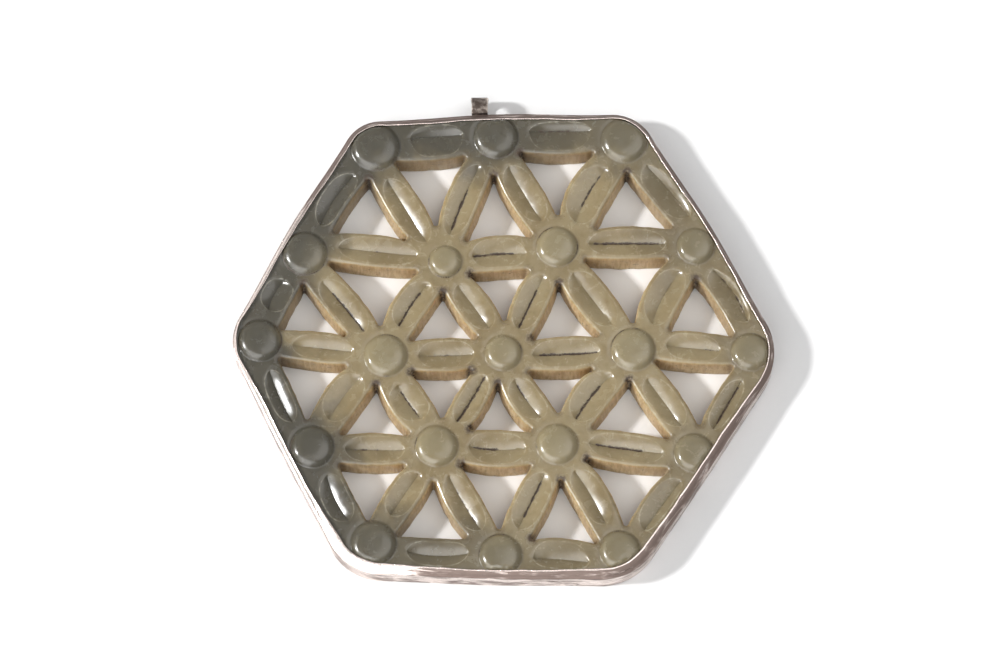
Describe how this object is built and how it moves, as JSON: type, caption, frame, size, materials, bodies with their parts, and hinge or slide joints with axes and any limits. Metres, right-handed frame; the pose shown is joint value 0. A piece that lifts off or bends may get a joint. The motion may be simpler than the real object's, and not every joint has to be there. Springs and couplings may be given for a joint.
{
  "type": "pierced jade plaque",
  "caption": "Flat six-sided jade plaque carved as a pierced trellis of hollowed petals and round bosses, in a thin silver collar with a small strap loop.",
  "frame": {"origin": "middle of the jade's flat back, on the surface the plaque lies on", "axes": "+X through the plaque's right-hand corner, +Y towards the side with the strap loop, +Z out of the carved face"},
  "size_m": [0.0605, 0.0566, 0.0041],
  "materials": {
    "jade": "polished",
    "silver": "satin"
  },
  "bodies": {
    "root": {"jade_plaque": "jade", "silver_frame": "silver", "suspension_loop": "silver"}
  },
  "joints": []
}
